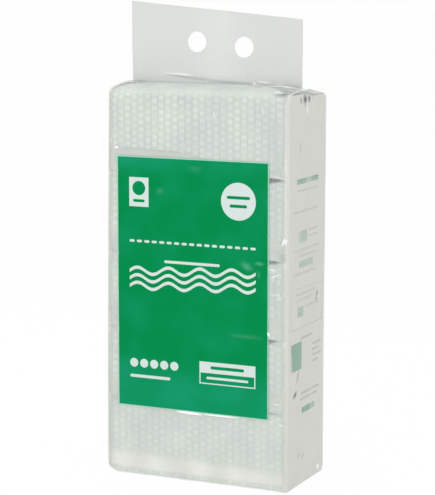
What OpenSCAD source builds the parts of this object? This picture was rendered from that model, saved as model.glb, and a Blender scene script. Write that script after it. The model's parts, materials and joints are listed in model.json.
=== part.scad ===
// Pack of five bundles of folded kitchen paper towels in a clear gusseted film bag with a hanging tab.
// X runs along the front, Y to the back and Z up. The origin is the middle of the base.

/* [Bundles] */
// Width of a bundle, which is the width of its sheets
bundle_w = 200; // [150:1:260]
// Thickness of a bundle's stack of folded sheets, front to back
bundle_d = 98; // [70:1:130]
// Mean height of a bundle, which is the height of a folded panel
bundle_h = 80; // [60:1:110]
// Radius of the fold at a bundle's long edges
fold_r = 2.5; // [1:0.5:4]
// How far back the gaping mouth between two bundles reaches
mouth_depth = 24; // [12:1:34]
// How far the top bundle swells in the middle under the film
swell = 4; // [0:0.5:5]

/* [Bag] */
// Thickness of the film
film_t = 0.5; // [0.3:0.1:0.8]
// Room between the bundles and the film on the front, back and ends
slack = 0.8; // [0.3:0.1:2]
// Gap left where a bundle follows a rounded edge or a tuck of the film
seat = 0.2; // [0.1:0.05:0.4]
// Radius of the bag's upright edges
edge_r = 4; // [2:0.5:7]
// Height of the ridge over the top bundle
ridge_rise = 6; // [5:0.5:12]
// Drop from the ridge to the front shoulder
front_drop = 7.5; // [5:0.5:10]
// Radius of the front shoulder
front_shoulder_r = 4; // [2:0.5:6]
// Height of the rear shoulder under the top bundle's top
rear_fall = 3; // [2:0.5:6]
// Radius of the rear shoulder
rear_shoulder_r = 12; // [8:0.5:16]
// Radius of the bag's bottom edge at the left end
foot_left_r = 12; // [6:0.5:16]
// Radius of the bag's bottom edge at the back
foot_rear_r = 10; // [5:0.5:14]
// Radius of the bag's other end edges
end_r = 2; // [1:0.5:3]

/* [Gusset tucks] */
// How far the side film tucks in under the roof at each end
tuck_depth = 42; // [20:1:60]
// Width of a tuck at its mouth
tuck_w = 84; // [50:1:92]

/* [Hanging tab] */
// Width of the tab
tab_w = 190; // [140:1:196]
// Height of the tab over the ridge, in its middle
tab_h = 74; // [60:1:110]
// Thickness of the tab, which is two films sealed together
tab_t = 1; // [0.6:0.1:1.6]
// Slope of the tab's cut edge, falling to the right
tab_slope = 4.9; // [0:0.1:8]
// Radius of the film's sweep from the roof into the tab
root_r = 4; // [2:0.5:6]
// Radius of the two punched holes
hole_r = 10.5; // [6:0.5:14]
// Distance between the holes' centres, along the sloping edge
hole_pitch = 52.5; // [35:0.5:80]
// Distance of the holes' centres under the tab's cut edge
hole_drop = 34.7; // [20:0.1:45]
// Distance of the pair of holes to the right of the tab's middle
hole_shift = 4.7; // [-15:0.1:15]

/* [Front print] */
// Thickness of the printed fields
ink_t = 0.2; // [0.1:0.05:0.4]
// Plain film to the left of the printed label
label_left = 14; // [8:0.5:30]
// Plain film to the right of the printed label
label_right = 21.5; // [8:0.5:40]
// Height of the label's lower edge
label_foot = 74; // [40:1:100]
// Distance of the label's upper edge under the top of the top bundle
label_head = 68.5; // [40:1:100]
// Width of the pale edge round the label
label_edge = 1; // [0.5:0.1:3]
// Distance of the label's marks from its upright edges
mark_margin = 13; // [8:0.5:18]
// Distance of the two badges under the label's upper edge
badge_drop = 20.5; // [10:0.5:40]
// Width of the upright badge
badge_w = 22; // [14:0.5:28]
// Height of the upright badge
badge_h = 30; // [20:0.5:36]
// Radius of the round badge
disc_r = 19; // [12:0.5:24]
// Distance of the row of dashes under the label's upper edge
dash_drop = 86; // [75:0.5:95]
// Height of the short bar over the label's lower edge
bar_rise = 152.5; // [145:0.5:165]
// Height of the wavy bands over the label's lower edge
wave_rise = 123.5; // [80:0.5:135]
// Distance from one wavy band to the next
wave_pitch = 7.8; // [5:0.1:9]
// Thickness of a wavy band
wave_t = 3.4; // [2:0.1:4]
// Height of the row of dots over the label's lower edge
dot_rise = 45; // [38:0.5:70]
// Radius of a dot
dot_r = 4.6; // [3:0.1:5]
// Height of the boxed field's lower edge over the label's lower edge
field_rise = 30; // [15:0.5:60]
// Width of the boxed field
field_w = 62; // [40:1:70]
// Height of the boxed field
field_h = 23; // [16:0.5:30]

/* [Side print] */
// Length of the thin frame on the side, front to back
frame_l = 82; // [60:1:90]
// Height of the thin frame on the side
frame_h = 41; // [25:1:50]
// Height of the thin frame's lower edge
frame_foot = 163; // [150:1:175]
// Width of the thin frame's line
line_w = 0.9; // [0.5:0.1:2]
// Thickness of the small bars of print
row_t = 2.4; // [1.5:0.1:3]
// Distance from one small bar to the next in a block
row_pitch = 6; // [4:0.5:8]

/* [Hidden] */
$fn = 64;

// How much higher or lower than the mean each bundle has settled, from the bottom up
settling = [-1, -5.5, 0, 2.5, 4];
// Opening of the mouth at each joint from the floor up, on each of the two bundles that meet there
mouths = [0, 0.5, 1.4, 1.7, 2.3, 0];
bundles = len(settling);

// Places along a bundle, measured in from each end, where its outline is drawn
half_w = bundle_w / 2;
stations_in = [0, 1.5, 4, 8, 12, 17, tuck_depth, (tuck_depth + half_w) / 2];
stations = concat(
    [for (s = stations_in) -half_w + s],
    [0],
    [for (i = [len(stations_in) - 1:-1:0]) half_w - stations_in[i]]);
// Segments of a rounded fold
fold_steps = 3;

bag_w = bundle_w + 2 * (slack + film_t);
bag_d = bundle_d + 2 * (slack + film_t);
stack_top = film_t + bundles * bundle_h;
ridge_z = stack_top + ridge_rise;
label_w = bag_w - label_left - label_right;
label_h = stack_top - label_head - label_foot;
label_x = (label_left - label_right) / 2;
// The top bundle's rear edge lies just under the rear shoulder
rear_sink = rear_fall + film_t + seat;

function joint_z(k) = film_t + (k == 0 ? 0 : joint_z(k - 1) - film_t + bundle_h + settling[k - 1]);

// Shape of one bundle

// Share of the mouth's opening at a place along the bundle: shut at the ends, wide open in the middle
function mouth_share(x) = 1 - pow(abs(x) / half_w, 8);

// How far film rounded to an inner radius r stands in from its flat side, close to an end of the bundles
function rounding(r, x) =
    let (run = abs(x) + seat - (half_w + slack - r))
    run <= 0 ? 0 : r - sqrt(pow(r, 2) - pow(run, 2));

// Rise of the lowest bundle's ends over the bag's floor
function end_rise(x) = rounding((x < 0 ? foot_left_r : end_r) - film_t, x);

// How far a bundle's front and back draw in at the bag's upright edges
function corner_in(x) = max(0, rounding(edge_r - film_t, x) - slack);

// Share of the top bundle's swelling at a place along it: none under the tucks, all of it in the middle
function swell_share(x) =
    let (run = (half_w - abs(x) - tuck_depth) / (half_w - tuck_depth))
    run <= 0 ? 0 : sin(90 * run);

function arc(y, z, r, from, to) =
    [for (i = [0:fold_steps]) let (a = from + (to - from) * i / fold_steps) [y + r * cos(a), z + r * sin(a)]];

// Outline of bundle k at a place x along it, seen from the right: up the front, over the top, down the back
function outline(k, x) =
    let (
        lowest = k == 0,
        highest = k == bundles - 1,
        front = -bundle_d / 2 + corner_in(x),
        back = bundle_d / 2 - corner_in(x),
        floor_z = joint_z(k) + (lowest ? end_rise(x) : 0),
        roof_z = joint_z(k + 1),
        low = mouths[k] * mouth_share(x),
        high = mouths[k + 1] * mouth_share(x),
        front_low_r = lowest ? max(fold_r, end_r - film_t) : fold_r,
        front_high_r = highest ? front_shoulder_r - film_t : fold_r,
        rear_top_r = highest ? rear_shoulder_r - film_t - slack / 2 : fold_r,
        rear_low_r = lowest ? foot_rear_r - film_t - slack / 2 : fold_r,
        front_high = highest ? max(0, front_drop - ridge_rise) + slack : high,
        rear_high = highest ? rear_sink : high,
        rear_in = highest ? mouth_depth + rear_sink : mouth_depth,
        bulge = highest ? swell * swell_share(x) : 0
    )
    concat(
        arc(front + front_low_r, floor_z + low + front_low_r, front_low_r, 270, 180),
        arc(front + front_high_r, roof_z - front_high - front_high_r, front_high_r, 180, 90),
        [[front + mouth_depth, roof_z + bulge / 2], [0, roof_z + bulge], [back - rear_in, roof_z]],
        arc(back - rear_top_r, roof_z - rear_high - rear_top_r, rear_top_r, 90, 0),
        arc(back - rear_low_r, floor_z + low + rear_low_r, rear_low_r, 0, -90),
        [[back - mouth_depth, floor_z], [front + mouth_depth, floor_z]]);

// Skin over a row of outlines that all have the same number of points, with each end closed from its middle
module loft(xs, outlines) {
    n = len(outlines[0]);
    last = len(xs) - 1;
    rings = [for (j = [0:last]) for (p = outlines[j]) [xs[j], p[0], p[1]]];
    middles = [for (j = [0, last])
        let (heights = [for (p = outlines[j]) p[1]])
        [xs[j], 0, (min(heights) + max(heights)) / 2]];
    sides = [for (j = [0:last - 1]) for (i = [0:n - 1])
        let (a = j * n + i, b = j * n + (i + 1) % n)
        each [[a, b, b + n], [a, b + n, a + n]]];
    ends = [for (i = [0:n - 1])
        let (next = (i + 1) % n)
        each [[next, i, (last + 1) * n], [last * n + i, last * n + next, (last + 1) * n + 1]]];
    polyhedron(points = concat(rings, middles), faces = concat(sides, ends), convexity = 4);
}

module bundle(k) {
    color([0.86, 0.88, 0.85])
        loft(stations, [for (x = stations) outline(k, x)]);
}

// Shape of the bag

// Rectangle with its own radius at each corner, in the order bottom left, bottom right, top right, top left
module rounded_rectangle(x0, z0, x1, z1, radii) {
    polygon([
        [x0 + radii[0], z0], [x1 - radii[1], z0], [x1, z0 + radii[1]], [x1, z1 - radii[2]],
        [x1 - radii[2], z1], [x0 + radii[3], z1], [x0, z1 - radii[3]], [x0, z0 + radii[0]]]);
    translate([x0 + radii[0], z0 + radii[0]]) circle(radii[0]);
    translate([x1 - radii[1], z0 + radii[1]]) circle(radii[1]);
    translate([x1 - radii[2], z1 - radii[2]]) circle(radii[2]);
    translate([x0 + radii[3], z1 - radii[3]]) circle(radii[3]);
}

// Extrudes a drawing of the end view, with Y across and Z up, along X
module along_x(length) {
    rotate([90, 0, 90])
        translate([0, 0, -length / 2])
            linear_extrude(length) children();
}

// Extrudes a drawing of the front view, with X across and Z up, along Y
module along_y(length) {
    rotate([90, 0, 0])
        translate([0, 0, -length / 2])
            linear_extrude(length) children();
}

// The roof's front half is an arc through the ridge and the front shoulder
crown_r = (pow(bag_d / 2, 2) + pow(front_drop, 2)) / (2 * front_drop);
crown_z = ridge_z - crown_r;
front_y = front_shoulder_r - bag_d / 2;
front_z = crown_z + sqrt(pow(crown_r - front_shoulder_r, 2) - pow(front_y, 2));
rear_y = bag_d / 2 - rear_shoulder_r;
rear_z = stack_top - rear_fall - rear_shoulder_r;
foot_y = bag_d / 2 - foot_rear_r;

// End view of the bag, drawn in by the film's thickness for the inside
module end_view(inset) {
    top = ridge_z - inset;
    tip = atan2(front_z - crown_z, front_y);
    run = [rear_y, top - rear_z];
    reach = norm(run);
    shoulder_r = rear_shoulder_r - inset;
    lean = atan2(-run[1], run[0]) + asin(shoulder_r / reach) + 90;
    touch = [rear_y + shoulder_r * cos(lean), rear_z + shoulder_r * sin(lean)];
    polygon([
        [-bag_d / 2 + end_r, inset], [foot_y, inset], [bag_d / 2 - inset, foot_rear_r], [bag_d / 2 - inset, rear_z],
        touch, [0, top], [0, crown_z], [front_y, front_z], [-bag_d / 2 + inset, front_z], [-bag_d / 2 + inset, end_r]]);
    intersection() {
        translate([0, crown_z]) circle(crown_r - inset, $fn = 360);
        polygon([[0, crown_z], [0, top + 1], crown_end(tip), [front_y, front_z]]);
    }
    translate([front_y, front_z]) circle(front_shoulder_r - inset);
    translate([rear_y, rear_z]) circle(shoulder_r);
    translate([foot_y, foot_rear_r]) circle(foot_rear_r - inset);
    translate([-bag_d / 2 + end_r, end_r]) circle(end_r - inset);
}

function crown_end(angle) = [(crown_r + 5) * cos(angle), crown_z + (crown_r + 5) * sin(angle)];

module bag_block(inset) {
    w = bag_w / 2 - inset;
    d = bag_d / 2 - inset;
    r = edge_r - inset;
    intersection() {
        along_x(bag_w) end_view(inset);
        along_y(bag_d)
            rounded_rectangle(-w, inset, w, ridge_z - inset,
                [foot_left_r - inset, end_r - inset, end_r - inset, end_r - inset]);
        linear_extrude(ridge_z) rounded_rectangle(-w, -d, w, d, [r, r, r, r]);
    }
}

// Pocket under the roof where the side film is tucked in, on the side given by 1 or -1
tuck_floor = stack_top + seat + film_t;
module tuck(side, wall) {
    mouth = bag_w / 2 + 1;
    intersection() {
        along_x(bag_w + 2) end_view(wall > 0 ? 0 : film_t);
        translate([0, 0, tuck_floor - wall])
            linear_extrude(ridge_rise)
                polygon([
                    [side * mouth, -tuck_w / 2 - wall], [side * mouth, tuck_w / 2 + wall],
                    [side * (mouth - tuck_depth - wall), 0]]);
    }
}

tab_foot = ridge_z - film_t / 2;
function tab_edge(x) = ridge_z + tab_h - x * tan(tab_slope);
module tab_outline() {
    polygon([[-tab_w / 2, tab_foot], [tab_w / 2, tab_foot],
        [tab_w / 2, tab_edge(tab_w / 2)], [-tab_w / 2, tab_edge(-tab_w / 2)]]);
}

// Film that sweeps up from both halves of the roof into the tab
module tab_root() {
    half = root_r + tab_t / 2;
    along_x(tab_w)
        difference() {
            translate([-half, tab_foot]) square([2 * half, root_r + film_t / 2]);
            for (side = [-1, 1])
                translate([side * half, ridge_z + root_r]) circle(root_r);
            translate([0, crown_z]) circle(crown_r - film_t, $fn = 360);
        }
}

module punched_hole(side) {
    x = hole_shift + side * hole_pitch / 2 * cos(tab_slope);
    translate([x, 0, tab_edge(x) - hole_drop])
        rotate([90, 0, 0]) cylinder(h = 4 * tab_t, r = hole_r, center = true);
}

module film_bag() {
    color([0.8, 0.84, 0.82, 0.5])
        difference() {
            union() {
                difference() {
                    bag_block(0);
                    difference() {
                        bag_block(film_t);
                        for (side = [-1, 1]) tuck(side, film_t);
                    }
                    for (side = [-1, 1]) tuck(side, 0);
                }
                along_y(tab_t) tab_outline();
                tab_root();
            }
            for (side = [-1, 1]) punched_hole(side);
        }
}

// Print on the front

mark_left = label_x - label_w / 2 + mark_margin;
mark_right = label_x + label_w / 2 - mark_margin;
mark_span = mark_right - mark_left;
label_top = label_foot + label_h;

// A bar with round ends, given by its left end, its middle height, its length and its thickness
module bar(x, z, length, thick) {
    translate([x + thick / 2, z - thick / 2]) square([length - thick, thick]);
    for (at = [x + thick / 2, x + length - thick / 2])
        translate([at, z]) circle(thick / 2);
}

// A rectangle given by its left edge, its lower edge, its width and its height
module field(x, z, w, h) {
    translate([x, z]) square([w, h]);
}

// Upright badge with a round window over a bar
module badge_square() {
    x = mark_left;
    z = label_top - badge_drop - badge_h;
    difference() {
        field(x, z, badge_w, badge_h);
        translate([x + badge_w / 2, z + 0.63 * badge_h]) circle(badge_w / 3);
        bar(x + badge_w / 5, z + badge_h / 5, badge_w * 3 / 5, badge_h / 10);
    }
}

// Round badge with two bars across it
module badge_disc() {
    x = mark_right - disc_r;
    z = label_top - badge_drop - disc_r;
    difference() {
        translate([x, z]) circle(disc_r);
        bar(x - disc_r * 2 / 3, z + disc_r / 5, disc_r * 4 / 3, disc_r / 6);
        bar(x - disc_r / 2, z - disc_r / 4, disc_r, disc_r / 6);
    }
}

module dashes() {
    count = 17;
    gap = 2.6;
    thick = 2.6;
    pitch = (mark_span + gap) / count;
    for (i = [0:count - 1])
        bar(mark_left + pitch * i, label_top - dash_drop, pitch - gap, thick);
}

module short_bar() {
    thick = 2.8;
    length = 0.44 * mark_span;
    bar(label_x - length / 2, label_foot + bar_rise, length, thick);
}

// Three wavy bands across the label, drawn along a sine that rises to the right
module waves() {
    bands = 3;
    crests = 4;
    steps = 12 * crests;
    swing = 3.6;
    climb = 6;
    line = [for (i = [0:steps])
        [mark_left + mark_span * i / steps, climb * i / steps + swing * sin(360 * crests * i / steps)]];
    for (b = [0:bands - 1])
        translate([0, label_foot + wave_rise + wave_pitch * b])
            polygon(concat(line, [for (i = [steps:-1:0]) line[i] + [0, wave_t]]));
}

// One dot for each bundle in the bag, over a bar
module row_of_dots() {
    pitch = 2.5 * dot_r;
    thick = dot_r * 2 / 3;
    for (i = [0:bundles - 1])
        translate([mark_left + dot_r + pitch * i, label_foot + dot_rise]) circle(dot_r);
    bar(mark_left, label_foot + dot_rise - 3 * dot_r, pitch * (bundles - 1), thick);
}

// Box whose upper half is filled and holds a bar, and whose lower half is open and holds another
module boxed_field() {
    line = 1.2;
    x = mark_right - field_w;
    z = label_foot + field_rise;
    difference() {
        field(x, z, field_w, field_h);
        field(x + line, z + line, field_w - 2 * line, field_h / 2 - line);
        bar(x + field_w / 5, z + field_h * 3 / 4, field_w * 3 / 5, field_h / 7);
    }
    bar(x + field_w / 8, z + field_h * 0.28, field_w * 3 / 4, field_h / 9);
}

module white_marks() {
    badge_square();
    badge_disc();
    dashes();
    short_bar();
    waves();
    row_of_dots();
    boxed_field();
}

module label_field(grow) {
    field(label_x - label_w / 2 - grow, label_foot - grow, label_w + 2 * grow, label_h + 2 * grow);
}

module on_front() {
    translate([0, -bag_d / 2 - ink_t / 2, 0]) along_y(ink_t) children();
}

module front_print_green() {
    color([0.03, 0.55, 0.32])
        on_front() difference() {
            label_field(0);
            white_marks();
        }
}

module front_print_white() {
    color([0.9, 0.95, 0.93])
        on_front() {
            difference() {
                label_field(label_edge);
                label_field(0);
            }
            white_marks();
        }
}

// Print on the right-hand side. Places and lengths along it are shares of the thin frame's length, counted from
// its left end, and heights are counted in rows from its lower edge.

module on_side() {
    translate([bag_w / 2 + ink_t / 2, 0, frame_foot]) along_x(ink_t) children();
}

function along(share) = (share - 0.5) * frame_l;

// Small bars one under another, all from the same left end
module rows(from, row, lengths) {
    for (i = [0:len(lengths) - 1])
        bar(along(from), (row - i) * row_pitch, lengths[i] * frame_l, row_t);
}

// Larger patches of colour
module block(from, row, length, height) {
    field(along(from), row * row_pitch, length * frame_l, height * row_pitch);
}

module side_print_green() {
    color([0.2, 0.55, 0.4])
        on_side() {
            block(0.15, 24.4, 0.68, 0.9);
            block(0.2, 14.5, 0.28, 2);
            block(0.23, 10.3, 0.44, 1.1);
            block(0.2, 2, 0.18, 1.6);
            block(0, -7, 0.33, 4.7);
            block(0.35, -14.8, 0.4, 1);
        }
}

module side_print_grey() {
    color([0.6, 0.63, 0.6])
        on_side() {
            difference() {
                field(along(0), 0, frame_l, frame_h);
                field(along(0) + line_w, line_w, frame_l - 2 * line_w, frame_h - 2 * line_w);
            }
            rows(0.15, 23.3, [0.62]);
            rows(0.04, 19.8, [0.75]);
            rows(0.53, 16.3, [0.32, 0.27]);
            rows(0.04, 13.3, [0.85, 0.72]);
            rows(0.04, 9.3, [0.76]);
            rows(0.13, frame_h / row_pitch - 1, [0.64, 0.56]);
            rows(0.45, frame_h / row_pitch / 2, [0.42]);
            rows(0.3, -1.8, [0.39]);
            rows(0.67, -3.6, [0.3, 0.24, 0.3, 0.2]);
            rows(0.3, -11.3, [0.61, 0.54]);
        }
}

film_bag();
bundle(0);  // bundle_1
bundle(1);  // bundle_2
bundle(2);  // bundle_3
bundle(3);  // bundle_4
bundle(4);  // bundle_5
front_print_green();
front_print_white();
side_print_green();
side_print_grey();
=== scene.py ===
# %% [markdown]
# # A pack of folded kitchen paper in a film bag
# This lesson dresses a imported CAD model. The pack is five bundles of folded tissue, one on another, in a
# clear polyethylene bag with tucked-in sides. The bag is printed in front and on its right-hand side, and
# its top is sealed into a flat tab with two punched holes.
#
# The CAD model gives every size and place. Here each soft piece is remade with the form that the hand and
# the heat of the sealing bar gave it, and each surface gets the finish of its real material.

import json
import math
import random
from collections import namedtuple

import bmesh
import bpy
from mathutils import Matrix, Vector, noise


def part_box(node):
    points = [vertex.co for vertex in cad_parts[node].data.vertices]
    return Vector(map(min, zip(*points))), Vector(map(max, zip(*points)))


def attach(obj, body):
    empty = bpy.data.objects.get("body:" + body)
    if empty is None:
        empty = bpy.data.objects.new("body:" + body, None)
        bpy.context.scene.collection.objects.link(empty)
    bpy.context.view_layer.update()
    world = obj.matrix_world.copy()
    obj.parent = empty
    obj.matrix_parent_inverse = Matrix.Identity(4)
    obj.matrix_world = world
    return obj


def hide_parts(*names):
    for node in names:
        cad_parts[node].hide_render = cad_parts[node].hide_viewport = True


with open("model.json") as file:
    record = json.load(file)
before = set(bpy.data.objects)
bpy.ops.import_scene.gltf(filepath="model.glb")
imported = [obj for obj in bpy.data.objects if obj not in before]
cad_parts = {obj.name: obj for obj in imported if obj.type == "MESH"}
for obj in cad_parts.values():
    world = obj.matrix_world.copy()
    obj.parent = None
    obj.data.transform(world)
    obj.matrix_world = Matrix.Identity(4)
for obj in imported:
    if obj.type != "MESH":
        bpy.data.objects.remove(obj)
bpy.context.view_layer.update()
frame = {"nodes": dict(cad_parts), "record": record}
MM = 0.001
print("CAD nodes:", ", ".join(sorted(frame["nodes"])))

# %% [markdown]
# Sizes come from the frame, in millimetres, because film and tissue are easier to think of in millimetres
# than in metres. The height of the ridge is read from the bag's own corners beyond the tab, since the
# bag's box ends at the tab's top.


# %% Sizes from the frame
def box_mm(node):
    low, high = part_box(node)
    return low / MM, high / MM


def corners_mm(node):
    return [v.co / MM for v in frame["nodes"][node].data.vertices]


near = 1
bag_high = box_mm("film_bag")[1]
half_w = bag_high.x
half_d = bag_high.y
bundle_names = [f"bundle_{n}" for n in range(1, 6)]
top_number = len(bundle_names) - 1
joints = [box_mm(name)[0].z for name in bundle_names[1:]]
stack_half_w = box_mm("bundle_1")[1].x
label_low, label_high = box_mm("front_print_green")
side_low, side_high = box_mm("side_print_grey")
tab_zone = label_high.z + 100
tab_corners = [c for c in corners_mm("film_bag") if c.z > tab_zone]
tab_half_w = max(c.x for c in tab_corners)
ridge_z = max(c.z for c in corners_mm("film_bag") if c.x > tab_half_w + near)
tab_top_left = max(c.z for c in tab_corners if c.x < near - tab_half_w)
tab_top_right = max(c.z for c in tab_corners if c.x > tab_half_w - near)
print(f"bag {2 * half_w:.1f} x {2 * half_d:.1f} mm")
print(f"ridge at {ridge_z:.1f} mm, tab to {tab_top_left:.1f} mm")
print("joints between bundles at", [round(z, 1) for z in joints])

# %% [markdown]
# ## Small tools
# A name that ends in band holds the two places between which something changes, and near, slight and tiny
# are margins in millimetres. A smooth step turns a distance into a share from 0 to 1 with soft ends.
# Noise is read at a place divided by the size of its lumps in millimetres, and a last number there picks
# one of its layers. Rings of edges are cut evenly with subdivide_edges, which works as a loop cut does in
# the editor. A finished mesh is scaled to metres once, so that its object can stay at the origin. Film
# and paper fold sharply, so edges that turn by more than 50 degrees aren't shaded smooth.


# %% Helpers
tiny = 0.01
slight = 0.1
straight = 0.99


def smooth(value, start, end):
    t = min(1.0, max(0.0, (value - start) / (end - start)))
    return t * t * (3 - 2 * t)


def bell(value, middle, width):
    return math.exp(-(((value - middle) / width) ** 2))


def cut_evenly(bm, axis, cuts, chosen=lambda edge: True):
    def along(edge):
        run = edge.verts[1].co - edge.verts[0].co
        return abs(run[axis]) > straight * run.length

    edges = [e for e in bm.edges if along(e) and chosen(e)]
    bmesh.ops.subdivide_edges(bm, edges=edges, cuts=cuts, use_grid_fill=True)


def new_layers(bm, *names):
    return [bm.verts.layers.float.new(name) for name in names]


def block(width, depth, height):
    bm = bmesh.new()
    bmesh.ops.create_cube(bm, size=1)
    bmesh.ops.scale(bm, vec=(width, depth, height), verts=bm.verts)
    bmesh.ops.translate(bm, vec=(0, 0, height / 2), verts=bm.verts)
    return bm


fold_angle = math.radians(50)


def make_piece(bm, name, material, stands_for):
    bmesh.ops.scale(bm, vec=(MM, MM, MM), verts=bm.verts)
    mesh = bpy.data.meshes.new(name)
    bm.to_mesh(mesh)
    bm.free()
    mesh.materials.append(material)
    mesh.shade_smooth()
    mesh.set_sharp_from_angle(angle=fold_angle)
    piece = bpy.data.objects.new(name, mesh)
    bpy.context.scene.collection.objects.link(piece)
    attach(piece, "root")
    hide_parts(stands_for)
    print(f"{name}: {len(mesh.polygons)} faces")


# %% [markdown]
# A rounded edge is made by pulling each point near a square corner onto the arc of its radius. The point
# keeps its direction from the arc's centre, so the film's mesh stays an even grid round the bend.


# %% Rounding
def round_corner(a, b, corner_a, corner_b, inward_a, inward_b, radius):
    deep_a = (a - corner_a) * inward_a
    deep_b = (b - corner_b) * inward_b
    if deep_a >= radius or deep_b >= radius:
        return a, b
    out = Vector((radius - deep_a, radius - deep_b))
    reach = max(out.x, out.y)
    out = out.normalized() * reach
    return corner_a + (radius - out.x) * inward_a, corner_b + (radius - out.y) * inward_b


# %% [markdown]
# ## Colours and shader nodes
# Colours are written as sRGB hex, as a picture shows them, and turned to linear by one function. One
# small function adds a node with its settings and links. A Mix node keeps the sockets of all its kinds,
# so its two colours are inputs 6 and 7, and the mixed colour is output 2.


# %% Colour and node helpers
def linear(hex_code):
    def channel(text):
        c = int(text, 16) / 255
        return c / 12.92 if c <= 0.04045 else ((c + 0.055) / 1.055) ** 2.4

    return tuple(channel(hex_code[i : i + 2]) for i in (1, 3, 5)) + (1.0,)


def add(tree, kind, values=None, links=None, **settings):
    node = tree.nodes.new(kind)
    for name, value in settings.items():
        setattr(node, name, value)
    for name, value in (values or {}).items():
        node.inputs[name].default_value = value
    for name, source in (links or {}).items():
        tree.links.new(source, node.inputs[name])
    return node


def new_material(name):
    material = bpy.data.materials.new(name)
    material.use_nodes = True
    tree = material.node_tree
    surface = tree.nodes["Principled BSDF"]
    return material, tree, surface


# %% [markdown]
# ## Embossed tissue
# Kitchen paper is soft creped tissue, pressed between steel rolls into rows of raised dots. It is matt.
# The dots are real relief in the mesh, and their colour carries painted shade as well: darker in the
# hollows between the dots and lighter on the dots. The material adds what is finer: the crepe's cross
# ripples, about 0.6 mm apart, and the cloudiness of the fibres. The part of the sheet that was never
# pressed is smoother and looks a little lighter. Between two bundles the paper is painted a dark green:
# painted shade in the mouths, tinted green by light that came through the green label.


# %% Tissue material
def tissue():
    material, tree, surface = new_material("embossed_tissue_paper")
    place = add(tree, "ShaderNodeTexCoord").outputs["Object"]
    names = ("dot_painted_shade", "plain", "mouth_painted_shade")
    readings = [add(tree, "ShaderNodeAttribute", attribute_name=name) for name in names]
    dot_painted_shade, plain, mouth_painted_shade = (reading.outputs["Fac"] for reading in readings)
    # Painted shade of the embossing: darker in the hollows between the dots, lighter on the dots.
    colour = add(
        tree,
        "ShaderNodeMix",
        {6: linear("#C1C8C1"), 7: linear("#DBE1DA")},
        {0: dot_painted_shade},
        data_type="RGBA",
    )
    # The unpressed tail is lighter, and the mouths between bundles get a painted dark green shade.
    for share, hex_code in ((plain, "#E0E1DA"), (mouth_painted_shade, "#3A5A4A")):
        colour = add(
            tree,
            "ShaderNodeMix",
            {7: linear(hex_code)},
            {0: share, 6: colour.outputs[2]},
            data_type="RGBA",
        )
    cloud = add(tree, "ShaderNodeTexNoise", {"Scale": 1 / (14 * MM), "Detail": 3}, {"Vector": place})
    shade = add(
        tree,
        "ShaderNodeMapRange",
        {"To Min": 0.94, "To Max": 1.04},
        {"Value": cloud.outputs["Fac"]},
    )
    tinted = add(
        tree,
        "ShaderNodeVectorMath",
        {},
        {0: colour.outputs[2], 1: shade.outputs[0]},
        operation="MULTIPLY",
    )
    stretch = add(tree, "ShaderNodeMapping", {"Scale": (0.35, 1, 1)}, {"Vector": place})
    crepe = add(
        tree,
        "ShaderNodeTexNoise",
        {"Scale": 1 / (0.6 * MM), "Detail": 2},
        {"Vector": stretch.outputs[0]},
    )
    bump = add(
        tree,
        "ShaderNodeBump",
        {"Strength": 0.25, "Distance": 0.15 * MM},
        {"Height": crepe.outputs["Fac"]},
    )
    tree.links.new(tinted.outputs[0], surface.inputs["Base Color"])
    tree.links.new(bump.outputs[0], surface.inputs["Normal"])
    surface.inputs["Roughness"].default_value = 0.95
    surface.inputs["Specular IOR Level"].default_value = 0.2
    return material


# %% [markdown]
# ## Polyethylene film
# Blown polyethylene film is clear, glossy and a little milky. Over the front it lies close to the paper
# and almost vanishes. The tucked sides and the sealed tab are two films thick and look hazier and warmer.
# Where the film is creased it is painted white: painted highlights and glints on the folds, with some of
# the whitening that creased film really has. Where it is puckered or folded over a pocket it is painted a
# dark green: painted shade. Three attributes on the mesh say how hazy the film is, and how much painted
# highlight and painted shade it carries at each point, and the alpha follows them. The gloss is the
# shader's own.


# %% Film material
def film():
    material, tree, surface = new_material("polyethylene_film")
    place = add(tree, "ShaderNodeTexCoord").outputs["Object"]
    names = ("haze", "crease_and_highlight", "fold_painted_shade")
    readings = [add(tree, "ShaderNodeAttribute", attribute_name=name) for name in names]
    haze, crease_and_highlight, fold_painted_shade = (reading.outputs["Fac"] for reading in readings)
    double = add(tree, "ShaderNodeMapRange", {"From Min": 0.5, "From Max": 0.8}, {"Value": haze})
    colour = add(
        tree,
        "ShaderNodeMix",
        {6: linear("#CACECA"), 7: linear("#D8D7D1")},
        {0: double.outputs[0]},
        data_type="RGBA",
    )
    # White is painted highlight along the creases, with some crease whitening; dark green is painted shade
    # in puckers and folds.
    for share, hex_code in ((crease_and_highlight, "#FFFFFF"), (fold_painted_shade, "#2E5240")):
        colour = add(
            tree,
            "ShaderNodeMix",
            {7: linear(hex_code)},
            {0: share, 6: colour.outputs[2]},
            data_type="RGBA",
        )
    milk = add(tree, "ShaderNodeTexNoise", {"Scale": 1 / (30 * MM), "Detail": 3}, {"Vector": place})
    cloud = add(
        tree,
        "ShaderNodeMapRange",
        {"To Min": 0.94, "To Max": 1.06},
        {"Value": milk.outputs["Fac"]},
    )
    hazed = add(tree, "ShaderNodeMath", {}, {0: haze, 1: cloud.outputs[0]}, operation="MULTIPLY")
    marked = add(tree, "ShaderNodeMath", {}, {0: crease_and_highlight, 1: fold_painted_shade}, operation="ADD")
    shares = {0: hazed.outputs[0], 1: marked.outputs[0]}
    cover = add(tree, "ShaderNodeMath", {}, shares, operation="ADD", use_clamp=True)
    fine = add(tree, "ShaderNodeTexNoise", {"Scale": 1 / (9 * MM), "Detail": 2}, {"Vector": place})
    bump = add(
        tree,
        "ShaderNodeBump",
        {"Strength": 0.2, "Distance": 0.3 * MM},
        {"Height": fine.outputs["Fac"]},
    )
    tree.links.new(colour.outputs[2], surface.inputs["Base Color"])
    tree.links.new(cover.outputs[0], surface.inputs["Alpha"])
    tree.links.new(bump.outputs[0], surface.inputs["Normal"])
    surface.inputs["Roughness"].default_value = 0.22
    surface.inputs["IOR"].default_value = 1.51
    return material
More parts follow.
